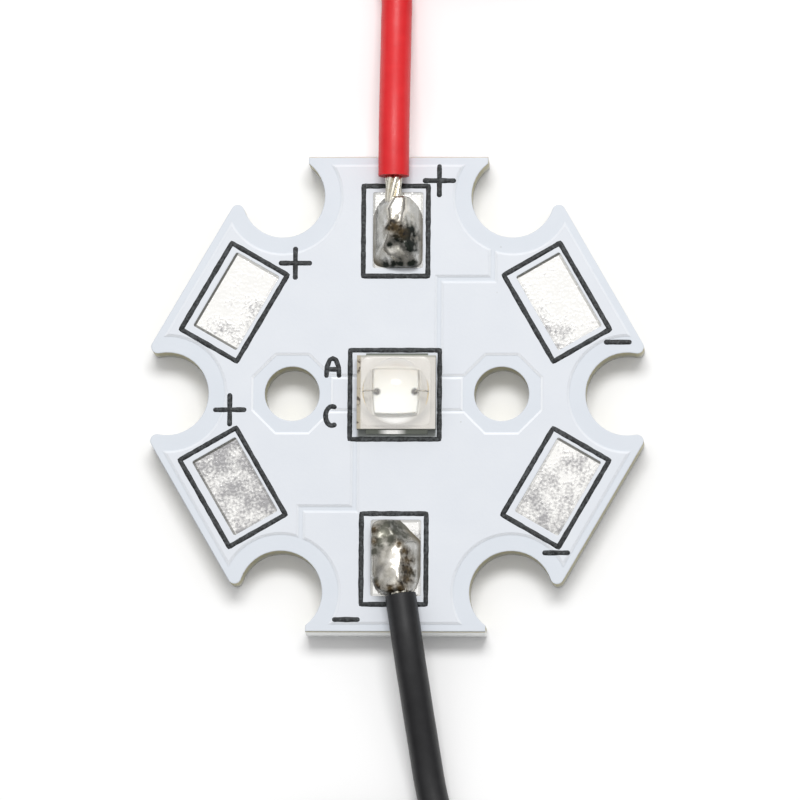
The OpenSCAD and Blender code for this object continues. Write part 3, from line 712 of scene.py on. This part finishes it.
# Leads: seven tinned copper strands, twisted, in a jacket of soft PVC, red on the anode and
# black on the cathode. Each is stripped at both ends, and its length lies wound up in a coil.
lead_d = 1.3 * MM
strand_d = 0.25 * MM
strand_ring = 0.96 * strand_d
strand_twist = math.radians(-55) / MM
strand_steps = 24
outer_strands = 6
lead_gap = 0.04 * MM
tie_t = 0.2 * MM
tin_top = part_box("anode_wire_pad")[1].z
lead_at_pad = tin_top + lead_gap + lead_d / 2
lead_on_floor = lead_d / 2
low_turn = tie_t + lead_d / 2
high_turn = low_turn + lead_d
coil_mean_r = 7 * MM
turn_points = 16
crossing = 0.2
coil_slots = [(0.5, low_turn), (-0.5, low_turn), (-0.5, high_turn), (0.5, high_turn)]


def route(points, pad_y, low, high):
    """Points of a route: X, Y from the middle of the pad, and height as a share of the fall."""
    return [Vector((x * MM, pad_y + y * MM, low + share * (high - low))) for x, y, share in points]


def wound_coil(middle, start_degrees, turns):
    """Points of a coil wound clockwise, two turns side by side and two high."""
    steps = round(turns * turn_points)
    points = []
    for i in range(1, steps):
        turn = turns * i / steps
        slot = min(int(turn), len(coil_slots) - 1)
        after = min(slot + 1, len(coil_slots) - 1)
        cross = min(1, max(0, (turn - slot - (1 - crossing)) / crossing))
        cross = cross * cross * (3 - 2 * cross)
        side = coil_slots[slot][0] + cross * (coil_slots[after][0] - coil_slots[slot][0])
        z = coil_slots[slot][1] + cross * (coil_slots[after][1] - coil_slots[slot][1])
        a = math.radians(start_degrees - 360 * turn)
        r = coil_mean_r + side * lead_d
        points.append(Vector((middle.x + r * math.cos(a), middle.y + r * math.sin(a), z)))
    return points


def jacket(name, points, material):
    """A lead's insulation along its whole route."""
    curve = round_curve(name, lead_d / 2, 8)
    curve.resolution_u = 6
    spline = curve.splines.new("BEZIER")
    spline.bezier_points.add(len(points) - 1)
    for knot, point in zip(spline.bezier_points, points):
        knot.co = point
        knot.handle_left_type = "AUTO"
        knot.handle_right_type = "AUTO"
    made = bpy.data.objects.new(name, curve)
    bpy.context.scene.collection.objects.link(made)
    curve.materials.append(material)
    return made


def twisted_strands(name, start, ahead, length, material):
    """The bare end of a lead: one strand with six more twisted round it."""
    ahead = ahead.normalized()
    aside = ahead.cross(Vector((0, 0, 1))).normalized()
    up = aside.cross(ahead)
    curve = round_curve(name, strand_d / 2, 4)
    for k in range(outer_strands + 1):
        reach = 0 if k == outer_strands else strand_ring
        spline = curve.splines.new("POLY")
        spline.points.add(strand_steps)
        for i in range(strand_steps + 1):
            s = length * i / strand_steps
            a = math.radians(360 / outer_strands * k) + strand_twist * s
            point = start + ahead * s + aside * (reach * math.cos(a)) + up * (reach * math.sin(a))
            spline.points[i].co = (*point, 1)
    made = welded_mesh(name, curve)
    made.data.materials.clear()
    made.data.materials.append(material)
    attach(made, "root")
    return made


def jacket_material(name, dark, light):
    """Soft PVC with a slightly uneven, glossy skin."""
    material, tree, shader = start_material(name, Specular_IOR_Level=0.38)
    place = object_place(tree)
    uneven = grain(tree, place, 0.5 * MM, 3)
    skin = grain(tree, place, 0.06 * MM, 3)
    tree.links.new(blend(tree, uneven, dark, light), shader.inputs["Base Color"])
    tree.links.new(ramp(tree, skin, 0.3, 0.7, 0.3, 0.48), shader.inputs["Roughness"])
    both = count(tree, "ADD", uneven, skin)
    relief(tree, shader, both, 0.012 * MM, 0.5)
    return material


tinned_strand, tree, shader = start_material("tinned_strand", Metallic=1.0)
drawn = grain(tree, object_place(tree), 0.09 * MM, 4)
strand_tone = blend(tree, drawn, (0.62, 0.57, 0.45, 1), (0.92, 0.89, 0.81, 1))
tree.links.new(strand_tone, shader.inputs["Base Color"])
tree.links.new(ramp(tree, drawn, 0.3, 0.7, 0.18, 0.36), shader.inputs["Roughness"])

paper, tree, shader = start_material("paper_tape", Roughness=0.8)
fibre = grain(tree, object_place(tree), 0.12 * MM, 5)
paper_tone = blend(tree, fibre, (0.72, 0.72, 0.69, 1), (0.86, 0.86, 0.84, 1))
tree.links.new(paper_tone, shader.inputs["Base Color"])
relief(tree, shader, fibre, 0.02 * MM)
dress(paper, "red_coil_tie", "black_coil_tie")

red_pvc = jacket_material("red_pvc", (0.62, 0.012, 0.016, 1), (0.74, 0.022, 0.027, 1))
black_pvc = jacket_material("black_pvc", (0.008, 0.008, 0.009, 1), (0.02, 0.02, 0.022, 1))

red_points = [
    (-0.16, 2.2, 1), (-0.16, 3, 1), (-0.16, 4, 0.96), (-0.16, 5, 0.835), (-0.16, 6, 0.65),
    (-0.16, 7, 0.43), (-0.16, 8, 0.23), (-0.16, 9, 0.08), (-0.16, 10, 0.015), (-0.3, 11, 0),
    (-0.6, 12, 0), (-1.15, 13, 0), (-1.75, 13.85, 0), (-2.4, 14.6, 0),
]
red_tail_points = [
    (-3.27, 15.61, 1), (-3.85, 16.43, 0.953), (-4.42, 17.25, 0.793), (-4.99, 18.07, 0.533),
    (-5.57, 18.89, 0.253), (-6.14, 19.71, 0.067), (-6.72, 20.53, 0), (-7.3, 21.35, 0),
]
black_points = [
    (0.24, -1.6, 1), (0.38, -2.5, 1), (0.53, -3.5, 0.993), (0.68, -4.5, 0.903),
    (0.84, -5.5, 0.745), (0.99, -6.5, 0.538), (1.15, -7.5, 0.324), (1.31, -8.5, 0.145),
    (1.48, -9.5, 0.041), (1.72, -10.5, 0.007), (2.1, -11.5, 0), (2.68, -12.4, 0),
    (3.45, -13.2, 0), (4.3, -14, 0),
]
black_tail_points = [
    (5.17, -15.01, 1), (5.75, -15.83, 0.953), (6.32, -16.65, 0.793), (6.89, -17.47, 0.533),
    (7.47, -18.29, 0.253), (8.04, -19.11, 0.067), (8.62, -19.93, 0), (9.2, -20.75, 0),
]
# For each lead: its colour, its pad, its routes to and from the coil, the coil's middle from the
# pad, the angle at which the coil starts, the length stripped at the pad, and its jacket.
leads = [
    ("red", "anode_wire_pad", red_points, red_tail_points, (3, 20), 225, 2.6, red_pvc),
    ("black", "cathode_wire_pad", black_points, black_tail_points, (-1.1, -19.4), 45, 2.0, black_pvc),
]
coil_turns = 4 + 10 / 360
tip_l = 3.5 * MM
for colour, pad, points, tail_points, coil_from_pad, start_degrees, strip, pvc in leads:
    low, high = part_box(pad)
    pad_y = (low.y + high.y) / 2
    out = route(points, pad_y, low_turn, lead_at_pad)
    tail = route(tail_points, pad_y, lead_on_floor, high_turn)
    middle = Vector((coil_from_pad[0] * MM, pad_y + coil_from_pad[1] * MM, 0))
    cord = jacket(colour + "_flex", out + wound_coil(middle, start_degrees, coil_turns) + tail, pvc)
    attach(cord, "root")
    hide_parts(colour + "_lead", colour + "_lead_coil", colour + "_lead_tail")
    bare = twisted_strands(colour + "_strands", out[0], out[0] - out[1], strip * MM, tinned_strand)
    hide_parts(colour + "_conductor")
    tip = twisted_strands(colour + "_tip_strands", tail[-1], tail[-1] - tail[-2], tip_l, tinned_strand)
    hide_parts(colour + "_lead_tip")


# Solder joints: a mound of solder, run round the strands on each wire pad by hand. The bright
# metal froze with flat facets, folds and pits, and brown flux is burnt onto it.
joint_w = 2.08
joint_inner = -1.59
joint_h = 1.5
facet_blend = 0.18
foot_hollow = 0.09
foot_stain = (0.06 * MM, 0.34 * MM)
mound_columns = 72
mound_rows = 96
mound_sink = 0.006 * MM
skin_rough = 0.05
skin_rough_per_mm = 2.6


def soft_minimum(a, b):
    """The smaller of two heights, with a rounded edge where they cross."""
    near = max(facet_blend - abs(a - b), 0) / facet_blend
    return min(a, b) - near * near * facet_blend / 4


def mound(name, pad, outer, taper, facets, lumps):
    """A mound on a wire pad, from its inner end out along the arm. A facet holds a height over
    the pad's middle and its slopes in X and outwards. A lump holds X, the way out, a radius
    and a height."""
    low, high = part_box(pad)
    middle = (low + high) / 2
    way = 1 if middle.y > 0 else -1
    bpy.ops.object.select_all(action="DESELECT")
    bpy.ops.mesh.primitive_grid_add(x_subdivisions=mound_columns, y_subdivisions=mound_rows, size=2)
    made = bpy.context.object
    made.name = name
    for vertex in made.data.vertices:
        side, v = math.sin(math.pi / 2 * vertex.co.x), (vertex.co.y * way + 1) / 2
        along = (1 - math.cos(math.pi * v)) / 2
        squarish = max(0, 1 - abs(2 * along - 1) ** 12)
        half = joint_w / 2 * squarish ** 0.25 * (1 - taper * max(0, (along - 0.7) / 0.3) ** 1.5)
        x = side * half
        out = joint_inner + (outer - joint_inner) * along
        rise = joint_h * squarish ** 0.4 * max(0, 1 - abs(side) ** 5) ** 0.5
        for z, slope_x, slope_out in facets:
            rise = soft_minimum(rise, z + slope_x * x + slope_out * out)
        inside = (1 - side ** 4) * squarish
        for lump_x, lump_out, r, h in lumps:
            far = math.hypot(x - lump_x, out - lump_out) / r
            rise += inside * h * math.exp(-far * far)
        rough_at = Vector((x * skin_rough_per_mm, out * skin_rough_per_mm, 3 + way))
        rise += inside * skin_rough * noise.noise(rough_at)
        rise = max(0, rise)
        z = high.z - mound_sink + rise * rise / (rise + foot_hollow) * MM
        vertex.co = (middle.x + x * MM, middle.y + way * out * MM, z)
    bpy.ops.object.mode_set(mode="EDIT")
    bpy.ops.mesh.select_all(action="SELECT")
    bpy.ops.mesh.region_to_loop()
    bpy.ops.mesh.edge_face_add()
    bpy.ops.mesh.select_all(action="SELECT")
    bpy.ops.mesh.normals_make_consistent(inside=False)
    bpy.ops.object.mode_set(mode="OBJECT")
    bpy.ops.object.shade_smooth()
    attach(made, "root")
    return made


def patch(tree, place, at, size, ragged):
    """1 inside a ragged patch round a point of the object, 0 outside."""
    offset = measure(tree, "SUBTRACT", place, at)
    flat = measure(tree, "MULTIPLY", offset, (1, 1, 0))
    far = measure(tree, "LENGTH", flat)
    ragged_far = count(tree, "MULTIPLY_ADD", ragged, 2.2 * size, far)
    return ramp(tree, ragged_far, 1.5 * size, 2.5 * size, 1, 0)


def patches(tree, place, spots, ragged):
    """The patches of a list of X, Y and size, laid over each other."""
    total = 0.0
    for x, y, size in spots:
        one = patch(tree, place, (x * MM, y * MM, 0), size * MM, ragged)
        total = count(tree, "MAXIMUM", total, one)
    return total


def joint_material(name, burnt_and_painted_dark_tone, flux_spots, burnt_and_painted_dark_spots):
    """Bright solder with patches of brown flux, and dark patches that are partly burnt skin and partly
    painted dark reflection.
    """
    material, tree, shader = start_material(name, Specular_IOR_Level=0.3)
    place = object_place(tree)
    ragged = grain(tree, place, 0.22 * MM, 5)
    cloudy = grain(tree, place, 0.45 * MM, 3)
    flux = patches(tree, place, flux_spots, ragged)
    dark = patches(tree, place, burnt_and_painted_dark_spots, ragged)
    height = split(tree, place)["Z"]
    foot = ramp(tree, height, tin_top + foot_stain[0], tin_top + foot_stain[1], 0.9, 0)
    bright = ramp(tree, cloudy, 0.35, 0.65)
    metal = blend(tree, bright, (0.54, 0.515, 0.455, 1), (0.78, 0.755, 0.70, 1))
    footed = blend(tree, foot, metal, (0.10, 0.08, 0.045, 1))
    glazed = ramp(tree, ragged, 0.35, 0.65)
    burnt = blend(tree, glazed, (0.010, 0.006, 0.002, 1), (0.12, 0.082, 0.036, 1))
    # The dark patches: partly burnt skin, partly painted dark reflection on the glossy metal.
    skin = blend(tree, dark, footed, burnt_and_painted_dark_tone)
    tree.links.new(blend(tree, flux, skin, burnt), shader.inputs["Base Color"])
    crusted = count(tree, "MAXIMUM", flux, foot)
    tree.links.new(ramp(tree, crusted, 0, 1, 1, 0), shader.inputs["Metallic"])
    dulled = count(tree, "MAXIMUM", crusted, dark)
    tree.links.new(ramp(tree, dulled, 0, 1, 0.2, 0.5), shader.inputs["Roughness"])
    relief(tree, shader, ragged, 0.02 * MM, 0.5)
    return material


red_facets = [
    (1.42, 0, -0.15), (1.84, 1.62, 0), (1.7, -1.5, 0), (1.46, 0.05, 0.62), (2.0, 0.6, 0.95),
    (2.6, 1.3, -1.0),
]
red_lumps = [
    (0.45, -0.4, 0.24, -0.22), (-0.38, -1.15, 0.3, 0.14), (0.05, -0.75, 0.2, -0.14),
    (0.6, -0.95, 0.24, 0.1), (-0.05, -0.2, 0.22, -0.06), (-0.65, -0.3, 0.2, 0.05),
]
red_joint = mound("red_joint", "anode_wire_pad", 1.38, 0.4, red_facets, red_lumps)
red_joint.data.materials.append(joint_material(
    "red_joint_solder", (0.026, 0.031, 0.026, 1),
    [(-0.08, 6.9, 0.4), (0.22, 6.7, 0.28), (-0.32, 6.86, 0.2)],
    [(0.4, 6.55, 0.5), (0.52, 6.8, 0.32), (0.52, 6.15, 0.42), (0.0, 6.42, 0.24), (-0.3, 6.2, 0.18),
     (0.1, 5.44, 0.24), (-0.5, 5.42, 0.22), (0.6, 5.44, 0.24), (-0.2, 5.42, 0.2)]))
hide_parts("red_solder_joint")

black_facets = [
    (1.24, 0, 0.16), (1.36, 0.52, 0.04), (1.78, -1.58, 0), (1.58, 0.1, 0.6), (2.05, -1.15, 1.15),
]
black_lumps = [
    (0.55, 0.1, 0.24, -0.1), (-0.5, 0.55, 0.4, 0.05), (-0.35, -0.75, 0.3, -0.1),
    (0.1, -0.55, 0.16, 0.06), (0.5, 0.75, 0.2, -0.1),
]
black_joint = mound("black_joint", "cathode_wire_pad", 1.58, 0.3, black_facets, black_lumps)
black_joint.data.materials.append(joint_material(
    "black_joint_solder", (0.14, 0.14, 0.115, 1),
    [(0.3, -8.3, 0.34), (-0.15, -8.36, 0.3), (0.5, -7.9, 0.3), (0.52, -7.5, 0.3), (0.5, -7.1, 0.3),
     (0.42, -6.75, 0.24), (0.2, -6.45, 0.2), (-0.92, -6.3, 0.2), (-0.92, -5.8, 0.22), (-0.78, -8.2, 0.26)],
    [(-0.45, -5.95, 0.42), (0.0, -5.85, 0.36), (-0.2, -6.2, 0.32), (-0.65, -6.35, 0.34),
     (-0.3, -5.55, 0.34), (0.2, -5.6, 0.34), (-0.8, -6.75, 0.22), (0.3, -6.0, 0.3),
     (0.66, -7.6, 0.2), (-0.8, -8.0, 0.16)]))
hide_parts("black_solder_joint")
